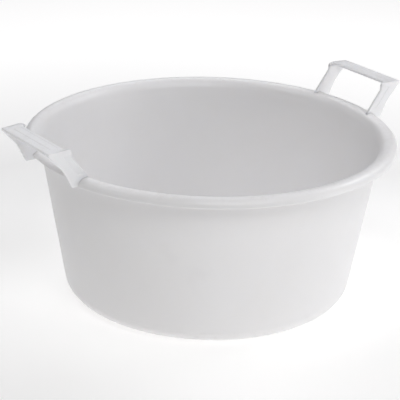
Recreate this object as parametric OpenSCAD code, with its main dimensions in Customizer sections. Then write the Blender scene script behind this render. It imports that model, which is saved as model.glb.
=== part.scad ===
// Round plastic mixing tub with two clip-in strap handles.
// Origin: centre of the ground ring. +Z up, and the handles stand on the X axis.

/* [Overall] */
// Outside diameter of the rolled rim
rim_d = 550; // [460:1:660]
// Height of the rim's crest above the ground
rim_h = 245; // [200:1:300]

/* [Shell] */
// Outside diameter where the line of the wall meets the ground
base_d = 423; // [340:1:440]
// Thickness of the wall and of the rolled rim
wall_t = 3; // [2.4:0.1:3.6]
// Thickness of the floor
floor_t = 3.6; // [3:0.1:5]
// Outside radius of the corner between floor and wall
corner_r = 27; // [18:1:34]
// Diameter of the raised panel inside the ground ring
panel_d = 300; // [240:1:340]
// Height of the raised panel above the ground
panel_lift = 2; // [1:0.1:3]
// Radius of the pip that the injection gate leaves under the floor
gate_r = 4; // [2:0.5:6]

/* [Rim] */
// Distance from the line of the wall to the rim's edge, at the crest's height
rim_overhang = 22; // [18:0.5:27]
// Radius of the flare from the wall to the crest, on the inside
flare_r = 16; // [13:0.5:20]
// Height of the rim from its crest to its lower edge
lip_h = 13; // [11:0.5:17]
// Radius of the bead along the rim's lower edge
bead_r = 2.2; // [1.8:0.1:2.6]
// Height that is left out of the lip between the feet of a handle
lip_relief = 8; // [4:0.5:8.5]
// Height of the feet's lower face above the rim's lower edge
foot_raise = 1.5; // [0.5:0.5:3]

/* [Handle] */
// Outside width of a handle, along the rim
handle_w = 128; // [104:1:160]
// Height of the grip's top above the rim's crest
handle_rise = 45; // [36:0.5:56]
// Thickness of a leg
leg_t = 4.5; // [3.6:0.1:5.6]
// Width of a leg at its top, across the rim
leg_w = 36.5; // [31:0.5:44]
// Lean of a leg's inner edge, outward from upright
leg_lean = 38; // [28:1:42]
// Lean of the foot's outer edge, outward from upright
foot_lean = 27; // [18:1:32]
// Height of the bend in a leg's outer edge above the rim's crest
knee_rise = 16; // [10:0.5:22]
// Distance that the foot stands out past the rim's edge
foot_proud = 8.5; // [6:0.5:12]
// Distance from the rim's edge in to the heel that sits on the crest
heel_inset = 18; // [16:0.5:20]
// Width of the grip, across the rim
grip_w = 27.5; // [23:0.5:30]
// Thickness of the grip
grip_t = 4; // [3.4:0.1:5]
// Height that the grip's top falls from its inner corner to its outer edge
grip_fall = 1.2; // [0:0.1:2]
// Radius of the corners between the grip and the legs
gusset_r = 10; // [6:0.5:14]
// Radius of a leg's upper inner corner
shoulder_r = 5; // [3:0.5:7]
// Height of the upright stretch under that corner
shoulder_h = 6; // [3:0.5:8]
// Radius of the rounded ends of the grip
end_r = 2; // [1:0.1:3]

/* [Panels in the handle] */
// Depth of the sunk panels in the legs
panel_sink = 0.8; // [0.4:0.1:1.2]
// Depth of the sunk panels in the grip's top
grip_sink = 0.5; // [0.3:0.1:0.8]
// Width of the rim left round the panels
border_w = 4; // [3:0.5:5]
// Width of the rib between two panels
rib_w = 3; // [2:0.5:4]
// Height of the lower end of a leg's panels above the rim's crest
panel_rise = 6; // [4:0.5:10]

/* [Clip] */
// Gap between the foot and the rim, on every side
fit_gap = 0.15; // [0.1:0.05:0.3]
// Length of the rim's flange that the heel and the toe hold between them
bite_l = 6; // [4:0.5:7]
// Overhang of the barb that keeps the foot from sliding out
barb_t = 1.3; // [1:0.1:1.8]
// Length of the barb's ramp
barb_l = 6; // [4:0.5:7]

/* [Hidden] */

round_fn = 180;
small_fn = 32;
arc_steps = 10;
end_steps = 6;

// How far a cutting shape runs past what it cuts, and a web into what it joins
over = 1;

rim_r = rim_d / 2;
base_r = base_d / 2;
mouth_r = rim_r - rim_overhang;
lip_z = rim_h - lip_h;

// The wall's angle above the ground, and its thickness measured level
wall_a = atan2(rim_h, mouth_r - base_r);
wall_level_t = wall_t / sin(wall_a);

// Where the flare ends and the roll begins
crest_r = mouth_r - wall_level_t + flare_r * tan(wall_a / 2);
roll_r = rim_r - crest_r;

inner_corner_r = corner_r - wall_t;
inner_corner_x = base_r - wall_level_t + floor_t / tan(wall_a) - inner_corner_r * tan(wall_a / 2);
outer_corner_x = base_r - corner_r * tan(wall_a / 2);
panel_r = panel_d / 2;
panel_in_r = panel_r - panel_lift;
pip_up = 0.4;
pip_down = 0.8;

// Where a leg stands: its middle plane, and the rim's edge and the heel in that plane
leg_y = handle_w / 2 - leg_t / 2;
leg_in_y = leg_y - leg_t / 2;
leg_out_y = leg_y + leg_t / 2;
rim_x = sqrt(rim_r * rim_r - leg_y * leg_y);
heel_x = rim_x - heel_inset;
slot_x = heel_x + bite_l;
foot_x = rim_x + foot_proud;
foot_z = lip_z + foot_raise;

// The top of a leg, from its inner corner to its tip
grip_z = rim_h + handle_rise;
shoulder_z = grip_z - shoulder_r - shoulder_h;
leg_in_x = heel_x + (shoulder_z - rim_h) * tan(leg_lean);
leg_out_x = leg_in_x + leg_w;
tip_z = grip_z - grip_fall - grip_t;
grip_in_x = leg_out_x - grip_w;

// Where the barb ends behind the lip's bead, and its top under the roll's inner face there
barb_r = rim_r - 2 * bead_r - 2 * fit_gap;
barb_x = sqrt(pow(barb_r, 2) - pow(leg_out_y + barb_t, 2));
barb_top = rim_h - roll_r + sqrt(max(0, pow(roll_r - wall_t, 2) - pow(barb_r - crest_r, 2))) - fit_gap;

// The bend in a leg's outer edge
knee_z = rim_h + knee_rise;
knee_x = foot_x + (knee_z - foot_z) * tan(foot_lean);
knee_l = 8;

function arc(c, r, from, to, steps = arc_steps) =
    [for (i = [0:steps]) c + r * [cos(from + (to - from) * i / steps), sin(from + (to - from) * i / steps)]];

// A bend from a through b to c, where b is the corner
function bend(a, b, c, steps = arc_steps) =
    [for (i = [0:steps]) let (t = i / steps) (1 - t) * (1 - t) * a + 2 * t * (1 - t) * b + t * t * c];

function toward(a, b, l) = a + l * (b - a) / norm(b - a);

// Height of the grip's top at a distance from the tub's centre
function top_z(x) = grip_z - grip_fall * (x - leg_in_x) / leg_w;

// A leg's inner and outer edge at a height, for the panels
function edge_in(z) = heel_x + (min(z, shoulder_z) - rim_h) * tan(leg_lean);
function edge_out(z) = z < knee_z ? foot_x + (z - foot_z) * tan(foot_lean)
    : knee_x + (z - knee_z) * (leg_out_x - knee_x) / (tip_z - knee_z);

// ---- turns of a flat drawing ----

// Turns a side view (X, Z) into a plate of a thickness whose middle is at y
module side_plate(t, y = 0) {
    translate([0, y + t / 2, 0]) rotate([90, 0, 0]) linear_extrude(t) children();
}

// Puts what is drawn on the +X side on the -X side too
module both_handles() {
    children();
    rotate([0, 0, 180]) children();
}

// ---- tub shell ----

// Underside of the floor, outside of the wall, underside of the rim, out to the lip's inner face
function shell_outside() = concat(
    [[0, panel_lift], [panel_in_r, panel_lift], [panel_r, 0]],
    arc([outer_corner_x, corner_r], corner_r, -90, wall_a - 90),
    arc([crest_r, rim_h - flare_r], flare_r - wall_t, 90 + wall_a, 90),
    arc([crest_r, rim_h - roll_r], roll_r - wall_t, 90, 0),
    [[rim_r - wall_t, lip_z]]);

// Lip's outer face, crest, flare, inside of the wall, and the floor's top
function shell_inside() = concat(
    [[rim_r, lip_z]],
    arc([crest_r, rim_h - roll_r], roll_r, 0, 90),
    arc([crest_r, rim_h - flare_r], flare_r, 90, 90 + wall_a),
    arc([inner_corner_x, floor_t + inner_corner_r], inner_corner_r, wall_a - 90, -90),
    [[panel_r, floor_t], [panel_in_r, floor_t + panel_lift], [0, floor_t + panel_lift]]);

module shell_profile() {
    polygon(concat(shell_outside(), shell_inside()));
    translate([rim_r - bead_r, lip_z + bead_r]) circle(bead_r, $fn = small_fn);
}

// Two slots through the rim for a handle's feet, open at the lip
module foot_slots() {
    slot_w = leg_t + 2 * fit_gap;
    for (end = [-1, 1])
        translate([slot_x, end * leg_y - slot_w / 2, lip_z - over])
            cube([rim_r - slot_x + over, slot_w, lip_h + 2 * over]);
}

// The lip's lower part is left out between a handle's feet, for the fingers
module finger_relief() {
    relief_x = crest_r - wall_t / 2;
    translate([relief_x, -leg_in_y, lip_z - over])
        cube([rim_r - relief_x + over, 2 * leg_in_y, lip_relief + over]);
}

module tub_shell() color("gainsboro") {
    difference() {
        rotate_extrude($fn = round_fn) shell_profile();
        both_handles() {
            foot_slots();
            finger_relief();
        }
    }
    translate([0, 0, panel_lift - pip_down]) cylinder(r = gate_r, h = pip_down + pip_up, $fn = small_fn);
}

// ---- handle, drawn on the +X side ----

// Side view of a leg with its foot; the toe reaches under the rim's flange
module leg_side() {
    foot = [foot_x, foot_z];
    knee = [knee_x, knee_z];
    tip = [leg_out_x, tip_z];
    polygon(concat(
        [[heel_x, foot_z], foot],
        bend(toward(knee, foot, knee_l), knee, toward(knee, tip, knee_l)),
        [tip, [leg_out_x, top_z(leg_out_x)]],
        arc([leg_in_x + shoulder_r, grip_z - shoulder_r], shoulder_r, 90, 180),
        [[leg_in_x, shoulder_z], [heel_x, rim_h]]));
}

// The rim's flange, thicker by the fit gap, as far out as the slot's end
module flange_clearance() {
    intersection() {
        rotate_extrude($fn = round_fn) polygon(concat(
            arc([crest_r, rim_h - roll_r], roll_r + fit_gap, 0, 90),
            arc([crest_r, rim_h - flare_r], flare_r + fit_gap, 90, 90 + wall_a),
            [[mouth_r - wall_level_t - wall_t, lip_z - over], [mouth_r - wall_t, lip_z - over]],
            arc([crest_r, rim_h - flare_r], flare_r - wall_t - fit_gap, 90 + wall_a, 90),
            arc([crest_r, rim_h - roll_r], roll_r - wall_t - fit_gap, 90, 0)));
        translate([0, -handle_w / 2, lip_z - over]) cube([slot_x, handle_w, lip_h + handle_rise]);
    }
}

// One of the two sunk panels in a leg's outer face, between two shares of the leg's width
module leg_panel(y, from, to) {
    low = rim_h + panel_rise;
    high = grip_z - 2 * grip_t;
    width_low = edge_out(low) - edge_in(low) - 2 * border_w;
    width_high = edge_out(high) - edge_in(high) - 2 * border_w;
    side_plate(2 * panel_sink, y) polygon([
        [edge_in(low) + border_w + from * width_low, low],
        [edge_in(low) + border_w + to * width_low, low],
        [edge_in(high) + border_w + to * width_high, high],
        [edge_in(high) + border_w + from * width_high, high]]);
}

// A ramp on the foot's outer face that snaps in behind the lip
module barb(end) {
    translate([0, 0, foot_z]) linear_extrude(barb_top - foot_z)
        polygon([[barb_x - barb_l, end * (leg_out_y - over)],
                 [barb_x - barb_l, end * leg_out_y],
                 [barb_x, end * (leg_out_y + barb_t)],
                 [barb_x, end * (leg_out_y - over)]]);
}

module leg(end) {
    share = (leg_w - 2 * border_w - rib_w) / 2 / (leg_w - 2 * border_w);
    difference() {
        side_plate(leg_t, end * leg_y) leg_side();
        leg_panel(end * leg_out_y, 0, share);
        leg_panel(end * leg_out_y, 1 - share, 1);
    }
    barb(end);
}

// Side view of the grip bar; its panels are sunk from above
module grip_side(sunk) {
    difference() {
        polygon([[grip_in_x, top_z(grip_in_x) - grip_t], [leg_out_x, tip_z],
                 [leg_out_x, top_z(leg_out_x)], [grip_in_x, top_z(grip_in_x)]]);
        if (sunk) {
            panel_w = (grip_w - 2 * border_w - rib_w) / 2;
            for (x = [grip_in_x + border_w, leg_out_x - border_w - panel_w])
                translate([x, top_z(x + panel_w / 2) - grip_sink]) square([panel_w, 2 * grip_sink]);
        }
    }
}

// Web that rounds the corner between the grip and a leg
module gusset(end) {
    c = [grip_in_x - gusset_r, leg_in_y - gusset_r];
    grip_end = [grip_in_x + over, leg_in_y + over];
    intersection() {
        mirror([0, end < 0 ? 1 : 0, 0])
            translate([0, 0, tip_z]) linear_extrude(grip_t + 2 * grip_fall)
                polygon(concat(arc(c, gusset_r, 0, 90), [[c.x, grip_end.y], grip_end, [grip_end.x, c.y]]));
        side_plate(handle_w) intersection() {
            leg_side();
            polygon([[leg_in_x, top_z(leg_in_x) - grip_t], [leg_out_x, tip_z],
                     [leg_out_x, grip_z + over], [leg_in_x, grip_z + over]]);
        }
    }
}

// Front view of the handle's outline, with its upper ends rounded
module end_rounding() {
    foot_y = leg_out_y + 2 * barb_t;
    translate([heel_x - over, 0, 0]) rotate([90, 0, 90]) linear_extrude(leg_out_x - heel_x + 2 * over)
        polygon(concat(
            [[-foot_y, lip_z - over], [foot_y, lip_z - over], [foot_y, rim_h], [leg_out_y, rim_h + over]],
            arc([leg_out_y - end_r, grip_z - end_r], end_r, 0, 90, end_steps),
            arc([end_r - leg_out_y, grip_z - end_r], end_r, 90, 180, end_steps),
            [[-leg_out_y, rim_h + over], [-foot_y, rim_h]]));
}

module handle() {
    sunk_w = 2 * (leg_in_y - gusset_r);
    difference() {
        intersection() {
            union() {
                for (end = [-1, 1]) {
                    leg(end);
                    gusset(end);
                }
                side_plate(handle_w - leg_t) grip_side(false);
            }
            end_rounding();
        }
        flange_clearance();
        side_plate(sunk_w) difference() {
            grip_side(false);
            grip_side(true);
        }
    }
}

module rear_handle() color("whitesmoke") handle();

module front_handle() color("whitesmoke") rotate([0, 0, 180]) handle();

tub_shell();
rear_handle();
front_handle();
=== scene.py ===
"""Mortar mixing tub: a round tapered tub of milky polyethylene with two clip-in strap handles."""
import math

import bpy
from mathutils import Matrix, Vector


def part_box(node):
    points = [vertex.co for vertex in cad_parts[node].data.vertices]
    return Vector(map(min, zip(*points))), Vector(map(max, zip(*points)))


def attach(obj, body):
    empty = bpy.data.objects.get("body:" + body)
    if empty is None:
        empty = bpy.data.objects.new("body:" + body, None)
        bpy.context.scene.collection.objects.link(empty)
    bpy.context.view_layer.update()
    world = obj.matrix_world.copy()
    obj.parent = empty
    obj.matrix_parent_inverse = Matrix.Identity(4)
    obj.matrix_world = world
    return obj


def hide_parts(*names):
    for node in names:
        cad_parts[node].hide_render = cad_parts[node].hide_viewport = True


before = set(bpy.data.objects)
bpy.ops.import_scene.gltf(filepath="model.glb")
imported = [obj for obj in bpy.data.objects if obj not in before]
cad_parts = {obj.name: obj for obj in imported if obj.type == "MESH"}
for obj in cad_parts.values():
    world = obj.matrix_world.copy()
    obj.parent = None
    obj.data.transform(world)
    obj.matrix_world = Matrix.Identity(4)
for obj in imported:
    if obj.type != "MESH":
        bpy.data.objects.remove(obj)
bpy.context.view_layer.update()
shell_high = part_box("tub_shell")[1]
grip_low, grip_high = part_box("rear_handle")

MM = 0.001

# ---- sizes of the tub, in metres; the outer ones come from the frame ----

RIM_R = shell_high.y
RIM_H = shell_high.z
BASE_R = 211.5 * MM
WALL_T = 3 * MM
FLOOR_T = 3.6 * MM
CORNER_R = 27 * MM
PANEL_R = 150 * MM
PANEL_LIFT = 2 * MM
RIM_OVERHANG = 22 * MM
FLARE_R = 16 * MM
LIP_H = 13 * MM
BEAD_R = 2.2 * MM
BEAD_PROUD = 0.5 * MM
LIP_RELIEF = 8 * MM
GATE_R = 4 * MM
GATE_H = 0.8 * MM
GATE_EDGE_R = 0.25 * MM
SPIN_STEPS = 256
ARC_STEPS = 14
INNER_ARC_STEPS = 12
WALL_STEPS = 8
FLOOR_STEPS = 6

MOUTH_R = RIM_R - RIM_OVERHANG
LIP_Z = RIM_H - LIP_H
WALL_A = math.atan2(RIM_H, MOUTH_R - BASE_R)
WALL_LEVEL_T = WALL_T / math.sin(WALL_A)
CREST_R = MOUTH_R - WALL_LEVEL_T + FLARE_R * math.tan(WALL_A / 2)
ROLL_R = RIM_R - CREST_R

# ---- sizes of a handle ----

BARB_T = 1.3 * MM
HANDLE_W = grip_high.y - grip_low.y - 2 * BARB_T
LEG_T = 4.5 * MM
LEG_W = 36.5 * MM
LEG_LEAN = math.radians(38)
FOOT_LEAN = math.radians(27)
FOOT_PROUD = 8.5 * MM
FOOT_RAISE = 1.5 * MM
HEEL_INSET = 18 * MM
KNEE_RISE = 16 * MM
KNEE_L = 8 * MM
GRIP_W = 27.5 * MM
GRIP_T = 4 * MM
GRIP_FALL = 1.2 * MM
GUSSET_R = 10 * MM
SHOULDER_R = 5 * MM
SHOULDER_H = 6 * MM
PANEL_SINK = 0.8 * MM
GRIP_SINK = 0.5 * MM
BORDER_W = 4 * MM
RIB_W = 3 * MM
PANEL_RISE = 6 * MM
PANEL_DRAFT = 0.8 * MM
BARB_L = 6 * MM
BITE_L = 6 * MM
FIT_GAP = 0.15 * MM
EDGE_R = MM
EDGE_STEPS = 4
PANEL_EDGE_R = 0.35 * MM
PANEL_EDGE_STEPS = 2
GUSSET_STEPS = 10
SHOULDER_STEPS = 8
SHARP_EDGE = math.radians(30)
SMOOTH_LIMIT = math.radians(32)

# A face counts as flat to an axis above this cosine
FLAT = 0.999
FLAT_TOP = 0.998
FACES_MIDDLE = -0.9
NEAR = 0.01 * MM
UNDER_CLEARANCE = 0.1 * MM

# Points closer than this are one point: in a spun piece, in a barb and across a mirror
SPIN_WELD = 0.005 * MM
BARB_WELD = 0.002 * MM
MIRROR_WELD = 0.02 * MM

LEG_OUT_Y = HANDLE_W / 2
LEG_IN_Y = LEG_OUT_Y - LEG_T
LEG_Y = LEG_OUT_Y - LEG_T / 2
RIM_X = math.sqrt(RIM_R ** 2 - LEG_Y ** 2)
HEEL_X = RIM_X - HEEL_INSET
SLOT_X = HEEL_X + BITE_L
FOOT_X = RIM_X + FOOT_PROUD
FOOT_Z = LIP_Z + FOOT_RAISE
GRIP_Z = grip_high.z
SHOULDER_Z = GRIP_Z - SHOULDER_R - SHOULDER_H
LEG_IN_X = HEEL_X + (SHOULDER_Z - RIM_H) * math.tan(LEG_LEAN)
LEG_OUT_X = LEG_IN_X + LEG_W
TIP_Z = GRIP_Z - GRIP_FALL - GRIP_T
GRIP_IN_X = LEG_OUT_X - GRIP_W
KNEE_Z = RIM_H + KNEE_RISE
KNEE_X = FOOT_X + (KNEE_Z - FOOT_Z) * math.tan(FOOT_LEAN)


# ---- outlines ----

def arc(x, z, r, start, end, steps=10):
    """Points of a round stretch in the XZ plane, with its angles in degrees."""
    turns = [math.radians(start + (end - start) * i / steps) for i in range(steps + 1)]
    return [Vector((x + r * math.cos(a), 0, z + r * math.sin(a))) for a in turns]


def at(x, z):
    return Vector((x, 0, z))


def line(a, b, steps):
    """Points from a to b, without b."""
    return [a.lerp(b, i / steps) for i in range(steps)]


def bend(a, b, c, steps=10):
    """A smooth bend from a through the corner b to c."""
    shares = [i / steps for i in range(steps + 1)]
    return [(1 - t) ** 2 * a + 2 * t * (1 - t) * b + t * t * c for t in shares]


def toward(a, b, length):
    return a + (b - a).normalized() * length


def top_z(x):
    """Height of the grip's top, which falls a little towards its outer edge."""
    return GRIP_Z - GRIP_FALL * (x - LEG_IN_X) / LEG_W


# ---- mesh work ----

def deselect_all():
    bpy.ops.object.select_all(action="DESELECT")


def edit(obj):
    """Opens one object in edit mode."""
    if bpy.context.object and bpy.context.object.mode != "OBJECT":
        bpy.ops.object.mode_set(mode="OBJECT")
    deselect_all()
    obj.select_set(True)
    bpy.context.view_layer.objects.active = obj
    bpy.ops.object.mode_set(mode="EDIT")


def leave_edit():
    bpy.ops.object.mode_set(mode="OBJECT")


def pick_faces(obj, wanted):
    """Selects the faces that a test of centre and normal picks, and goes back to edit mode."""
    bpy.ops.mesh.select_all(action="DESELECT")
    bpy.ops.mesh.select_mode(type="FACE")
    leave_edit()
    for face in obj.data.polygons:
        face.select = wanted(face.center, face.normal)
    bpy.ops.object.mode_set(mode="EDIT")


def pick_edges(obj, wanted):
    """Selects the edges whose two ends a test picks, and goes back to edit mode."""
    bpy.ops.mesh.select_all(action="DESELECT")
    bpy.ops.mesh.select_mode(type="EDGE")
    leave_edit()
    verts = obj.data.vertices
    for edge in obj.data.edges:
        a, b = (verts[i].co for i in edge.vertices)
        edge.select = wanted(a, b)
    bpy.ops.object.mode_set(mode="EDIT")


def drawn_outline(name, points):
    """A chain of edges through the points, extruded from one vertex; it stays in edit mode."""
    deselect_all()
    bpy.ops.mesh.primitive_plane_add(size=MM, location=points[0])
    obj = bpy.context.object
    obj.name = name
    obj.data.name = name
    bpy.ops.object.transform_apply(location=True, rotation=True, scale=True)
    bpy.ops.object.mode_set(mode="EDIT")
    bpy.ops.mesh.select_mode(type="VERT")
    bpy.ops.mesh.select_all(action="SELECT")
    bpy.ops.mesh.merge(type="CENTER")
    for before, after in zip(points, points[1:]):
        bpy.ops.mesh.extrude_vertices_move(TRANSFORM_OT_translate={"value": after - before})
    bpy.ops.mesh.select_all(action="SELECT")
    return obj


def spun(obj, steps, angle=2 * math.pi):
    """Spins the selected outline round the Z axis and closes its seams and poles."""
    bpy.ops.mesh.spin(steps=steps, angle=angle, center=(0, 0, 0), axis=(0, 0, 1))
    bpy.ops.mesh.select_all(action="SELECT")
    bpy.ops.mesh.remove_doubles(threshold=SPIN_WELD)
    bpy.ops.mesh.normals_make_consistent(inside=False)
    leave_edit()


def block(name, low, high):
    """A box between two corners, used to cut another piece."""
    deselect_all()
    low, high = Vector(low), Vector(high)
    bpy.ops.mesh.primitive_cube_add(size=1, location=(low + high) / 2, scale=high - low)
    obj = bpy.context.object
    obj.name = name
    bpy.ops.object.transform_apply(location=True, rotation=True, scale=True)
    return obj


def combine(obj, other, operation):
    """Cuts another piece out of obj or adds it, and removes the other piece."""
    deselect_all()
    obj.select_set(True)
    bpy.context.view_layer.objects.active = obj
    step = obj.modifiers.new("combine", "BOOLEAN")
    step.operation = operation
    step.solver = "MANIFOLD"
    step.object = other
    bpy.ops.object.modifier_apply(modifier=step.name)
    bpy.data.objects.remove(other, do_unlink=True)


def smooth(obj):
    """Smooth shading that keeps the sharp corners, and keeps large faces flat."""
    deselect_all()
    obj.select_set(True)
    bpy.context.view_layer.objects.active = obj
    bpy.ops.object.shade_smooth_by_angle(angle=SMOOTH_LIMIT)
    step = obj.modifiers.new("flat_faces", "WEIGHTED_NORMAL")
    step.keep_sharp = True
    bpy.ops.object.modifier_apply(modifier=step.name)


# ---- tub ----

def shell_outline():
    """Section of the tub, from the middle of its underside to the middle of its floor."""
    inner_r = CORNER_R - WALL_T
    wall_deg = math.degrees(WALL_A)
    inner_x = BASE_R - WALL_LEVEL_T + FLOOR_T / math.tan(WALL_A) - inner_r * math.tan(WALL_A / 2)
    outer_x = BASE_R - CORNER_R * math.tan(WALL_A / 2)
    panel_in = PANEL_R - PANEL_LIFT
    pip_z = PANEL_LIFT - GATE_H
    under = [at(0, pip_z), at(GATE_R - GATE_EDGE_R, pip_z), at(GATE_R, pip_z + GATE_EDGE_R)]
    under += line(at(GATE_R, PANEL_LIFT), at(panel_in, PANEL_LIFT), FLOOR_STEPS)
    under += [at(panel_in, PANEL_LIFT), at(PANEL_R, 0)]
    outer_corner = arc(outer_x, CORNER_R, CORNER_R, -90, wall_deg - 90, ARC_STEPS)
    outer_flare = arc(CREST_R, RIM_H - FLARE_R, FLARE_R - WALL_T, 90 + wall_deg, 90,
                      INNER_ARC_STEPS)
    outer_wall = line(outer_corner[-1], outer_flare[0], WALL_STEPS)[1:]
    outer_roll = arc(CREST_R, RIM_H - ROLL_R, ROLL_R - WALL_T, 90, 0, INNER_ARC_STEPS)[1:]
    lip_in = RIM_R - WALL_T
    bead = arc(RIM_R - BEAD_R, LIP_Z + BEAD_R, BEAD_R, 180, 360, ARC_STEPS)
    bead_top = LIP_Z + 1.9 * BEAD_R
    lip_out = RIM_R - BEAD_PROUD
    lip = [at(lip_in, bead_top)] + bead + [at(lip_out, bead_top)]
    crest = arc(CREST_R, RIM_H - ROLL_R, ROLL_R, 0, 90, ARC_STEPS)
    crest = [at(min(p.x, lip_out), p.z) for p in crest if p.z > LIP_Z + 2 * BEAD_R]
    flare = arc(CREST_R, RIM_H - FLARE_R, FLARE_R, 90, 90 + wall_deg, ARC_STEPS)[1:]
    inner_corner = arc(inner_x, FLOOR_T + inner_r, inner_r, wall_deg - 90, -90, ARC_STEPS)
    inner_wall = line(flare[-1], inner_corner[0], WALL_STEPS)[1:]
    panel_edge, middle = at(panel_in, FLOOR_T + PANEL_LIFT), at(0, FLOOR_T + PANEL_LIFT)
    floor = [at(PANEL_R, FLOOR_T), panel_edge]
    floor += line(panel_edge, middle, FLOOR_STEPS)[1:] + [middle]
    return (under + outer_corner + outer_wall + outer_flare + outer_roll + lip
            + crest + flare + inner_wall + inner_corner + floor)


def make_tub():
    tub = drawn_outline("moulded_tub", shell_outline())
    spun(tub, SPIN_STEPS)
    slot_half = LEG_T / 2 + FIT_GAP
    for side in (-1, 1):
        near, far = sorted((side * SLOT_X, side * (RIM_R + MM)))
        for end in (-1, 1):
            low = (near, end * LEG_Y - slot_half, LIP_Z - MM)
            high = (far, end * LEG_Y + slot_half, RIM_H + MM)
            combine(tub, block("slot_cutter", low, high), "DIFFERENCE")
        near, far = sorted((side * (CREST_R - WALL_T / 2), side * (RIM_R + MM)))
        low = (near, -LEG_IN_Y, LIP_Z - MM)
        high = (far, LEG_IN_Y, LIP_Z + LIP_RELIEF)
        combine(tub, block("relief_cutter", low, high), "DIFFERENCE")
    smooth(tub)
    return tub


# ---- handle, made on the +X side ----

def leg_outline():
    """Side view of a leg with its foot."""
    foot, knee, tip = at(FOOT_X, FOOT_Z), at(KNEE_X, KNEE_Z), at(LEG_OUT_X, TIP_Z)
    knee_bend = bend(toward(knee, foot, KNEE_L), knee, toward(knee, tip, KNEE_L))
    shoulder = arc(LEG_IN_X + SHOULDER_R, GRIP_Z - SHOULDER_R, SHOULDER_R, 90, 180, SHOULDER_STEPS)
    return ([at(HEEL_X, FOOT_Z), foot] + knee_bend + [tip, at(LEG_OUT_X, top_z(LEG_OUT_X))]
            + shoulder + [at(LEG_IN_X, SHOULDER_Z), at(HEEL_X, RIM_H)])


def grip_under(x):
    return top_z(x) - GRIP_T


def cut_faces(obj, place, normal, wanted):
    """Draws the line where a plane crosses the faces that a test picks."""
    pick_faces(obj, wanted)
    bpy.ops.mesh.bisect(plane_co=place, plane_no=normal)


def cut_grip_section(handle):
    """Marks out the end of the grip on the leg's inner face."""
    fall = (GRIP_FALL / LEG_W, 0, 1)
    cut_faces(handle, (LEG_OUT_X, 0, TIP_Z), fall, lambda centre, normal: True)
    cut_faces(handle, (GRIP_IN_X, 0, 0), (1, 0, 0),
              lambda centre, normal: centre.z > grip_under(centre.x) + UNDER_CLEARANCE)


def draw_grip(handle):
    """Pulls half of the grip out of the leg, as far as the middle, and rounds its inner corner."""
    pick_faces(handle, lambda centre, normal: (
        normal.y < FACES_MIDDLE and centre.x > GRIP_IN_X and centre.z > grip_under(centre.x)))
    bpy.ops.mesh.extrude_region_move(TRANSFORM_OT_translate={"value": (0, -LEG_IN_Y, 0)})
    bpy.ops.mesh.delete(type="FACE")
    pick_edges(handle, lambda a, b: all(
        abs(p.x - GRIP_IN_X) < NEAR and abs(p.y - LEG_IN_Y) < NEAR for p in (a, b)))
    bpy.ops.mesh.bevel(offset=GUSSET_R, segments=GUSSET_STEPS, affect="EDGES", clamp_overlap=False)


def edge_in(z):
    """Inner edge of a leg at a height."""
    return HEEL_X + (min(z, SHOULDER_Z) - RIM_H) * math.tan(LEG_LEAN)


def edge_out(z):
    """Outer edge of a leg at a height, with its corner left sharp."""
    if z < KNEE_Z:
        return FOOT_X + (z - FOOT_Z) * math.tan(FOOT_LEAN)
    return KNEE_X + (z - KNEE_Z) * (LEG_OUT_X - KNEE_X) / (TIP_Z - KNEE_Z)


def across_leg(share, z):
    """Place on a leg's face, as a share of the width between its two borders."""
    start = edge_in(z) + BORDER_W
    return start + share * (edge_out(z) - BORDER_W - start)


def flat_outside(centre, normal):
    return normal.y > FLAT and centre.z < grip_under(centre.x)


def sink_leg_panels(handle):
    """Marks out two panels in the leg's outer face, and sinks the inner one. The outer stays flush."""
    low, high = RIM_H + PANEL_RISE, GRIP_Z - 2 * GRIP_T
    share = (1 - RIB_W / (LEG_W - 2 * BORDER_W)) / 2
    for z in (low, high):
        cut_faces(handle, (0, 0, z), (0, 0, 1), flat_outside)
    between = lambda centre, normal: flat_outside(centre, normal) and low < centre.z < high
    for s in (0, share, 1 - share, 1):
        start, stop = at(across_leg(s, low), low), at(across_leg(s, high), high)
        run = stop - start
        cut_faces(handle, start, (run.z, 0, -run.x), between)

    def panel(centre, normal):
        start, stop = across_leg(0, centre.z), across_leg(1, centre.z)
        here = (centre.x - start) / (stop - start)
        return between(centre, normal) and (0 < here < share or 1 - share < here < 1)

    sink(handle, panel, PANEL_SINK)


def sink(handle, panel, depth):
    """Sinks the faces that a test picks, with drafted sides and soft edges."""
    pick_faces(handle, panel)
    bpy.ops.mesh.inset(thickness=PANEL_DRAFT, depth=-depth, use_individual=False)
    bpy.ops.mesh.region_to_loop()
    bpy.ops.mesh.bevel(offset=PANEL_EDGE_R, segments=PANEL_EDGE_STEPS, affect="EDGES",
                       clamp_overlap=False)


def add_barb(handle):
    """Ramp on the foot's outer face that snaps in behind the lip."""
    reach = LEG_OUT_Y + BARB_T
    barb_r = RIM_R - 2 * BEAD_R - 2 * FIT_GAP
    barb_x = math.sqrt(barb_r ** 2 - reach ** 2)
    top = RIM_H - ROLL_R + math.sqrt((ROLL_R - WALL_T) ** 2 - (barb_r - CREST_R) ** 2) - FIT_GAP
    foot_face = lambda centre, normal: normal.y > FLAT and centre.z < RIM_H + PANEL_RISE
    cut_faces(handle, (0, 0, top), (0, 0, 1), foot_face)
    for x in (barb_x - BARB_L, barb_x):
        cut_faces(handle, (x, 0, 0), (1, 0, 0), lambda c, n: foot_face(c, n) and c.z < top)
    pick_faces(handle, lambda c, n: (
        foot_face(c, n) and c.z < top and barb_x - BARB_L < c.x < barb_x))
    bpy.ops.mesh.extrude_region_move(TRANSFORM_OT_translate={"value": (0, BARB_T, 0)})
    pick_edges(handle, lambda a, b: all(
        p.y > reach - NEAR and abs(p.x - barb_x + BARB_L) < NEAR for p in (a, b)))
    bpy.ops.transform.translate(value=(0, -BARB_T, 0))
    bpy.ops.mesh.select_all(action="SELECT")
    bpy.ops.mesh.remove_doubles(threshold=BARB_WELD)


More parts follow.
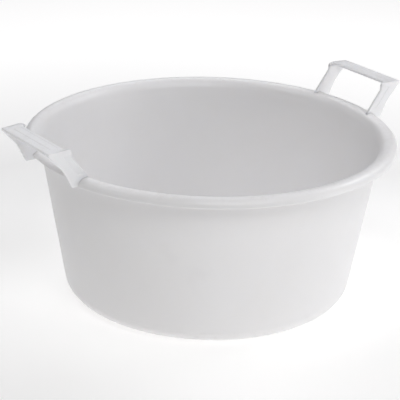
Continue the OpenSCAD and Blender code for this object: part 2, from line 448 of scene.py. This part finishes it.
def mirror_across_middle(handle):
    leave_edit()
    step = handle.modifiers.new("other_half", "MIRROR")
    step.use_axis = (False, True, False)
    step.merge_threshold = MIRROR_WELD
    bpy.ops.object.modifier_apply(modifier=step.name)


def sink_grip_panels(handle):
    """Two long sunk panels in the grip's top, with a rib between them."""
    edit(handle)
    half_l = LEG_IN_Y - GUSSET_R
    panel_w = (GRIP_W - 2 * BORDER_W - RIB_W) / 2
    lines = [GRIP_IN_X + BORDER_W, GRIP_IN_X + BORDER_W + panel_w,
             LEG_OUT_X - BORDER_W - panel_w, LEG_OUT_X - BORDER_W]
    flat_top = lambda centre, normal: normal.z > FLAT_TOP and centre.z > GRIP_Z - 2 * GRIP_FALL
    for y in (-half_l, half_l):
        cut_faces(handle, (0, y, 0), (0, 1, 0), flat_top)
    middle = lambda centre, normal: flat_top(centre, normal) and abs(centre.y) < half_l
    for x in lines:
        cut_faces(handle, (x, 0, 0), (1, 0, 0), middle)
    in_panel = lambda c, n: middle(c, n) and (
        lines[0] < c.x < lines[1] or lines[2] < c.x < lines[3])
    sink(handle, in_panel, GRIP_SINK)
    leave_edit()


def flange_cutter():
    """The rim's flange with the fit gap round it, as far out as the slots."""
    wall_deg = math.degrees(WALL_A)
    over = arc(CREST_R, RIM_H - ROLL_R, ROLL_R + FIT_GAP, 0, 90, ARC_STEPS)
    over += arc(CREST_R, RIM_H - FLARE_R, FLARE_R + FIT_GAP, 90, 90 + wall_deg, ARC_STEPS)[1:]
    under = arc(CREST_R, RIM_H - FLARE_R, FLARE_R - WALL_T - FIT_GAP, 90 + wall_deg, 90,
                INNER_ARC_STEPS)
    under += arc(CREST_R, RIM_H - ROLL_R, ROLL_R - WALL_T - FIT_GAP, 90, 0, INNER_ARC_STEPS)[1:]
    low = [at(MOUTH_R - 2 * WALL_T, LIP_Z - MM), at(MOUTH_R - WALL_T, LIP_Z - MM)]
    points = over + low + under
    ring = drawn_outline("flange_cutter", points + points[:1])
    spun(ring, SPIN_STEPS)
    past_slots = block("slot_end", (SLOT_X, -RIM_R, 0), (RIM_R, RIM_R, GRIP_Z))
    combine(ring, past_slots, "DIFFERENCE")
    return ring


def make_handle():
    handle = drawn_outline("rear_strap_handle", leg_outline())
    bpy.ops.mesh.edge_face_add()
    bpy.ops.mesh.select_all(action="SELECT")
    bpy.ops.transform.translate(value=(0, LEG_IN_Y, 0))
    bpy.ops.mesh.extrude_region_move(TRANSFORM_OT_translate={"value": (0, LEG_T, 0)})
    bpy.ops.mesh.select_all(action="SELECT")
    bpy.ops.mesh.normals_make_consistent(inside=False)
    cut_grip_section(handle)
    draw_grip(handle)
    bpy.ops.mesh.select_all(action="DESELECT")
    bpy.ops.mesh.edges_select_sharp(sharpness=SHARP_EDGE)
    bpy.ops.mesh.bevel(offset=EDGE_R, segments=EDGE_STEPS, affect="EDGES", clamp_overlap=False)
    sink_leg_panels(handle)
    add_barb(handle)
    mirror_across_middle(handle)
    sink_grip_panels(handle)
    combine(handle, flange_cutter(), "DIFFERENCE")
    smooth(handle)
    return handle


def turned_copy(obj, name):
    """The same piece on the other side of the tub, with its own mesh."""
    deselect_all()
    obj.select_set(True)
    bpy.context.view_layer.objects.active = obj
    bpy.ops.object.duplicate()
    other = bpy.context.object
    other.name = name
    other.data.name = name
    edit(other)
    bpy.ops.mesh.select_all(action="SELECT")
    bpy.ops.transform.rotate(value=math.pi, orient_axis="Z", center_override=(0, 0, 0))
    leave_edit()
    return other


# ---- plastic ----

# Heights between which wear sets in: from none to full
TUB_WEAR = ((30 * MM, 4 * MM), (RIM_H - 6 * MM, RIM_H))
HANDLE_WEAR = ((GRIP_Z - 8 * MM, GRIP_Z - MM),)

# Polyethylene: refraction, strength of its shine, and how far red, green and blue light spread in it
PLASTIC_IOR = 1.51
PLASTIC_SPECULAR = 0.5
SPREAD = (1.0, 0.96, 0.9)

# Stretches of the noise patterns that turn into tone, smudges, scuffs and gloss
TONE_RANGE = (0.34, 0.64)
SMUDGE_RANGE = (0.66, 0.78)
SMUDGE_MOST = 0.45
SMUDGE_TINT = (0.93, 0.925, 0.93)
SCUFF_RANGE = (0.48, 0.64)
SCUFF_TINT = (0.955, 0.95, 0.945)
SCUFF_DULLS = 0.16
GLOSS_RANGE = (0.3, 0.7)
GLOSS_UNDER = 0.06
GLOSS_OVER = 0.08


def node(tree, kind, **inputs):
    made = tree.nodes.new(kind)
    for name, value in inputs.items():
        made.inputs[name.replace("_", " ")].default_value = value
    return made


def pattern(tree, place, kind, **inputs):
    """A texture laid out on the piece's own coordinates."""
    made = node(tree, kind, **inputs)
    tree.links.new(place.outputs["Object"], made.inputs["Vector"])
    return made


def bump(tree, height, under, strength, distance):
    """Raises a surface by a linked height, over another bump or the bare mesh."""
    made = node(tree, "ShaderNodeBump", Strength=strength, Distance=distance)
    tree.links.new(height, made.inputs["Height"])
    if under:
        tree.links.new(under.outputs["Normal"], made.inputs["Normal"])
    return made


def ranged(tree, value, start, stop, low=0, high=1):
    """Turns the stretch of a value from start to stop into low to high, and holds it outside."""
    step = node(tree, "ShaderNodeMapRange", From_Min=start, From_Max=stop, To_Min=low, To_Max=high)
    tree.links.new(value, step.inputs["Value"])
    return step.outputs["Result"]


def combined(tree, operation, a, b):
    step = tree.nodes.new("ShaderNodeMath")
    step.operation = operation
    tree.links.new(a, step.inputs[0])
    tree.links.new(b, step.inputs[1])
    return step.outputs["Value"]


def tinted(tree, factor, base, tint):
    """Multiplies a linked colour by a tint, by a linked factor."""
    step = tree.nodes.new("ShaderNodeMix")
    step.data_type = "RGBA"
    step.blend_type = "MULTIPLY"
    step.inputs["B"].default_value = (*tint, 1)
    tree.links.new(factor, step.inputs["Factor"])
    tree.links.new(base, step.inputs["A"])
    return step.outputs["Result"]


def milky_plastic(name, light, dark, roughness, glow, depth, worn_bands):
    """Satin milky polyethylene: clouded colour, smudges, rubbed gloss, faint turned rings, a fine
    moulded grain, and scuffs on the bands of height that touch the ground or the hands."""
    mat = bpy.data.materials.new(name)
    mat.use_nodes = True
    tree = mat.node_tree
    shader = tree.nodes["Principled BSDF"]
    shader.inputs["IOR"].default_value = PLASTIC_IOR
    shader.inputs["Specular IOR Level"].default_value = PLASTIC_SPECULAR
    shader.inputs["Subsurface Weight"].default_value = glow
    shader.inputs["Subsurface Radius"].default_value = SPREAD
    shader.inputs["Subsurface Scale"].default_value = depth
    place = tree.nodes.new("ShaderNodeTexCoord")

    clouds = pattern(tree, place, "ShaderNodeTexNoise",
                     Scale=5.5, Detail=4.0, Roughness=0.55, Distortion=0.4)
    tone = tree.nodes.new("ShaderNodeValToRGB")
    for stop, position, shade in zip(tone.color_ramp.elements, TONE_RANGE, (dark, light)):
        stop.position = position
        stop.color = (*shade, 1)
    tree.links.new(clouds.outputs["Fac"], tone.inputs["Fac"])

    smudges = pattern(tree, place, "ShaderNodeTexNoise", Scale=11.0, Detail=3.0, Roughness=0.45)
    smudge = ranged(tree, smudges.outputs["Fac"], *SMUDGE_RANGE, 0, SMUDGE_MOST)
    colour = tinted(tree, smudge, tone.outputs["Color"], SMUDGE_TINT)

    height = tree.nodes.new("ShaderNodeSeparateXYZ")
    tree.links.new(place.outputs["Object"], height.inputs["Vector"])
    bands = [ranged(tree, height.outputs["Z"], start, stop) for start, stop in worn_bands]
    band = bands[0]
    for other in bands[1:]:
        band = combined(tree, "MAXIMUM", band, other)
    scuffs = pattern(tree, place, "ShaderNodeTexNoise",
                     Scale=95.0, Detail=8.0, Roughness=0.7, Distortion=0.8)
    worn = combined(tree, "MULTIPLY", band, ranged(tree, scuffs.outputs["Fac"], *SCUFF_RANGE))
    colour = tinted(tree, worn, colour, SCUFF_TINT)
    tree.links.new(colour, shader.inputs["Base Color"])

    rubbed = pattern(tree, place, "ShaderNodeTexNoise", Scale=26.0, Detail=6.0, Roughness=0.62)
    gloss = ranged(tree, rubbed.outputs["Fac"], *GLOSS_RANGE,
                   roughness - GLOSS_UNDER, roughness + GLOSS_OVER)
    dull = combined(tree, "ADD", gloss, ranged(tree, worn, 0, 1, 0, SCUFF_DULLS))
    tree.links.new(dull, shader.inputs["Roughness"])

    grain = pattern(tree, place, "ShaderNodeTexNoise", Scale=420.0, Detail=3.0, Roughness=0.6)
    ripple = pattern(tree, place, "ShaderNodeTexNoise", Scale=14.0, Detail=2.0, Roughness=0.4)
    rings = pattern(tree, place, "ShaderNodeTexWave", Scale=60.0, Distortion=1.2, Detail=2.0)
    rings.wave_type = "RINGS"
    rings.rings_direction = "Z"
    fine = bump(tree, grain.outputs["Fac"], None, strength=0.12, distance=0.15 * MM)
    scratched = bump(tree, worn, fine, strength=0.3, distance=0.2 * MM)
    turned = bump(tree, rings.outputs["Fac"], scratched, strength=0.12, distance=0.1 * MM)
    broad = bump(tree, ripple.outputs["Fac"], turned, strength=0.25, distance=1.2 * MM)
    tree.links.new(broad.outputs["Normal"], shader.inputs["Normal"])
    return mat


def dress(obj, mat, replaced):
    obj.data.materials.clear()
    obj.data.materials.append(mat)
    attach(obj, "root")
    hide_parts(replaced)


# ---- floor, light and camera ----

NEUTRAL_LIGHT = (1, 1, 1)
COOL_LIGHT = (0.97, 0.975, 1)

# Glow of the floor at distances from its middle, in metres: painted light from a glowing floor that is
# no lamp. It keeps the backdrop near white, and it also stands in for lamp light that lifts the shadow
# round the tub and lights the tub's lower walls
PAINTED_GLOW_BY_REACH = ((0.25, 0.6), (0.6, 0.42), (1.3, 0.7))
PAINTED_GLOW_TINT = (1, 0.992, 0.985, 1)
FLOOR_GREY = (0.55, 0.55, 0.55, 1)
FLOOR_ROUGHNESS = 0.9
FLOOR_SPECULAR = 0.1
FLOOR_R = 14
FLOOR_SIDES = 96

# The floor lies this far under the tub, so that the two never share a plane
FLOOR_DROP = 0.2 * MM

# Soft lamps: name, place, the point each one faces, size, power and colour
SOFTBOXES = (
    ("low_softbox", (1.05, -1.4, 0.36), (0.15, 0, 0.12), 0.7, 5.1, NEUTRAL_LIGHT),
    ("left_softbox", (-0.9, 0.65, 1.9), (0.05, 0, 0.15), 0.9, 8.8, COOL_LIGHT),
    ("front_softbox", (-0.6, -1.5, 1.7), (0, 0, 0.15), 0.9, 16.2, NEUTRAL_LIGHT),
    ("right_softbox", (1.5, -0.3, 1.5), (0, 0, 0.2), 0.9, 13.0, COOL_LIGHT),
    ("back_softbox", (0.7, 1.4, 1.7), (0, 0, 0.2), 0.9, 10.4, COOL_LIGHT),
)

# Room light: the level direction it comes from, and the stretches over which it fades
BRIGHT_WAY = (0.15, -0.99, 0)
SIDE_FADE = (-0.45, 0.9)
HEIGHT_FADE = (0.6, 0.95)
HORIZON_TINT = (1, 0.99, 0.985, 1)
OVERHEAD_TINT = (0.975, 0.975, 1.02, 1)

# Camera: turn and rise in degrees, distance in metres, small tilts in degrees, lens in millimetres
CAMERA_TURN = 36.53
CAMERA_RISE = 22.25
CAMERA_FAR = 2.3236
CAMERA_TILT_X = 0.28
CAMERA_TILT_Y = 0.32
CAMERA_ROLL = 1.61
CAMERA_LENS = 139.13
CAMERA_SENSOR = 36


def add_floor():
    deselect_all()
    bpy.ops.mesh.primitive_circle_add(
        vertices=FLOOR_SIDES, radius=FLOOR_R, fill_type="NGON", location=(0, 0, -FLOOR_DROP))
    floor = bpy.context.object
    floor.name = "studio_floor"
    mat = bpy.data.materials.new("floor_with_painted_glow")
    mat.use_nodes = True
    shader = mat.node_tree.nodes["Principled BSDF"]
    shader.inputs["Base Color"].default_value = FLOOR_GREY
    shader.inputs["Roughness"].default_value = FLOOR_ROUGHNESS
    shader.inputs["Specular IOR Level"].default_value = FLOOR_SPECULAR
    # Painted light: the floor emits this colour and lights the tub, though the floor is no lamp
    shader.inputs["Emission Color"].default_value = PAINTED_GLOW_TINT
    tree = mat.node_tree
    place = tree.nodes.new("ShaderNodeTexCoord")
    reach = tree.nodes.new("ShaderNodeVectorMath")
    reach.operation = "LENGTH"
    tree.links.new(place.outputs["Object"], reach.inputs[0])
    share = tree.nodes.new("ShaderNodeMath")
    share.operation = "DIVIDE"
    farthest = PAINTED_GLOW_BY_REACH[-1][0]
    share.inputs[1].default_value = farthest
    tree.links.new(reach.outputs["Value"], share.inputs[0])
    # Strength of the painted glow by distance from the middle, which lifts the shadow round the tub
    glow = tree.nodes.new("ShaderNodeValToRGB")
    stops = glow.color_ramp.elements
    stops.new(PAINTED_GLOW_BY_REACH[1][0] / farthest)
    for stop, (far, strength) in zip(stops, PAINTED_GLOW_BY_REACH):
        stop.position = far / farthest
        stop.color = (strength, strength, strength, 1)
    tree.links.new(share.outputs["Value"], glow.inputs["Fac"])
    tree.links.new(glow.outputs["Color"], shader.inputs["Emission Strength"])
    floor.data.materials.append(mat)


def add_light(name, place, aim, size, power, colour):
    """A square soft light that faces a point."""
    data = bpy.data.lights.new(name, "AREA")
    data.shape = "SQUARE"
    data.size = size
    data.energy = power
    data.color = colour
    lamp = bpy.data.objects.new(name, data)
    bpy.context.scene.collection.objects.link(lamp)
    lamp.location = place
    lamp.rotation_euler = (Vector(aim) - Vector(place)).to_track_quat("-Z", "Y").to_euler()


def add_room_light(overhead, bright_side, dim_side):
    """Light of the whole room: one strength from above, and two at the horizon, towards the bright
    way and away from it."""
    world = bpy.data.worlds.new("room")
    world.use_nodes = True
    tree = world.node_tree
    back = tree.nodes["Background"]
    place = tree.nodes.new("ShaderNodeTexCoord")
    aside = tree.nodes.new("ShaderNodeVectorMath")
    aside.operation = "DOT_PRODUCT"
    aside.inputs[1].default_value = BRIGHT_WAY
    tree.links.new(place.outputs["Generated"], aside.inputs[0])
    side = ranged(tree, aside.outputs["Value"], *SIDE_FADE, dim_side, bright_side)
    split = tree.nodes.new("ShaderNodeSeparateXYZ")
    tree.links.new(place.outputs["Generated"], split.inputs["Vector"])
    height = node(tree, "ShaderNodeMapRange", From_Min=HEIGHT_FADE[0], From_Max=HEIGHT_FADE[1])
    height.interpolation_type = "SMOOTHSTEP"
    tree.links.new(split.outputs["Z"], height.inputs["Value"])
    both = tree.nodes.new("ShaderNodeMix")
    both.data_type = "FLOAT"
    both.inputs["B"].default_value = overhead
    tree.links.new(height.outputs["Result"], both.inputs["Factor"])
    tree.links.new(side, both.inputs["A"])
    tree.links.new(both.outputs["Result"], back.inputs["Strength"])
    tint = tree.nodes.new("ShaderNodeMix")
    tint.data_type = "RGBA"
    tint.inputs["A"].default_value = HORIZON_TINT
    tint.inputs["B"].default_value = OVERHEAD_TINT
    tree.links.new(height.outputs["Result"], tint.inputs["Factor"])
    tree.links.new(tint.outputs["Result"], back.inputs["Color"])
    bpy.context.scene.world = world


def add_camera():
    """Camera in front of the tub and to its left, looking down at its middle."""
    turn, rise = math.radians(CAMERA_TURN), math.radians(CAMERA_RISE)
    middle = Vector((0, 0, RIM_H / 2))
    level = math.cos(rise)
    back = Vector((-math.sin(turn) * level, -math.cos(turn) * level, math.sin(rise)))
    aim = back.to_track_quat("Z", "Y").to_matrix().to_4x4()
    tilt = (Matrix.Rotation(math.radians(CAMERA_TILT_X), 4, "X")
            @ Matrix.Rotation(math.radians(CAMERA_TILT_Y), 4, "Y"))
    roll = Matrix.Rotation(math.radians(CAMERA_ROLL), 4, "Z")
    data = bpy.data.cameras.new("camera")
    data.sensor_width = CAMERA_SENSOR
    data.lens = CAMERA_LENS
    camera = bpy.data.objects.new("camera", data)
    bpy.context.scene.collection.objects.link(camera)
    camera.matrix_world = Matrix.Translation(middle + back * CAMERA_FAR) @ aim @ tilt @ roll
    bpy.context.scene.camera = camera


add_camera()
tub = make_tub()
rear = make_handle()
front = turned_copy(rear, "front_strap_handle")

tub_plastic = milky_plastic("milky_tub_plastic", light=(0.86, 0.853, 0.86), dark=(0.84, 0.83, 0.833),
                            roughness=0.37, glow=0.4, depth=9 * MM, worn_bands=TUB_WEAR)
handle_plastic = milky_plastic("milky_handle_plastic", light=(0.85, 0.85, 0.87),
                               dark=(0.83, 0.828, 0.842), roughness=0.37, glow=0.6,
                               depth=10 * MM, worn_bands=HANDLE_WEAR)
dress(tub, tub_plastic, "tub_shell")
dress(rear, handle_plastic, "rear_handle")
dress(front, handle_plastic, "front_handle")

add_floor()
add_room_light(overhead=0.06, bright_side=0.12, dim_side=0.0)
for softbox in SOFTBOXES:
    add_light(*softbox)
bpy.context.scene.view_settings.view_transform = "Standard"
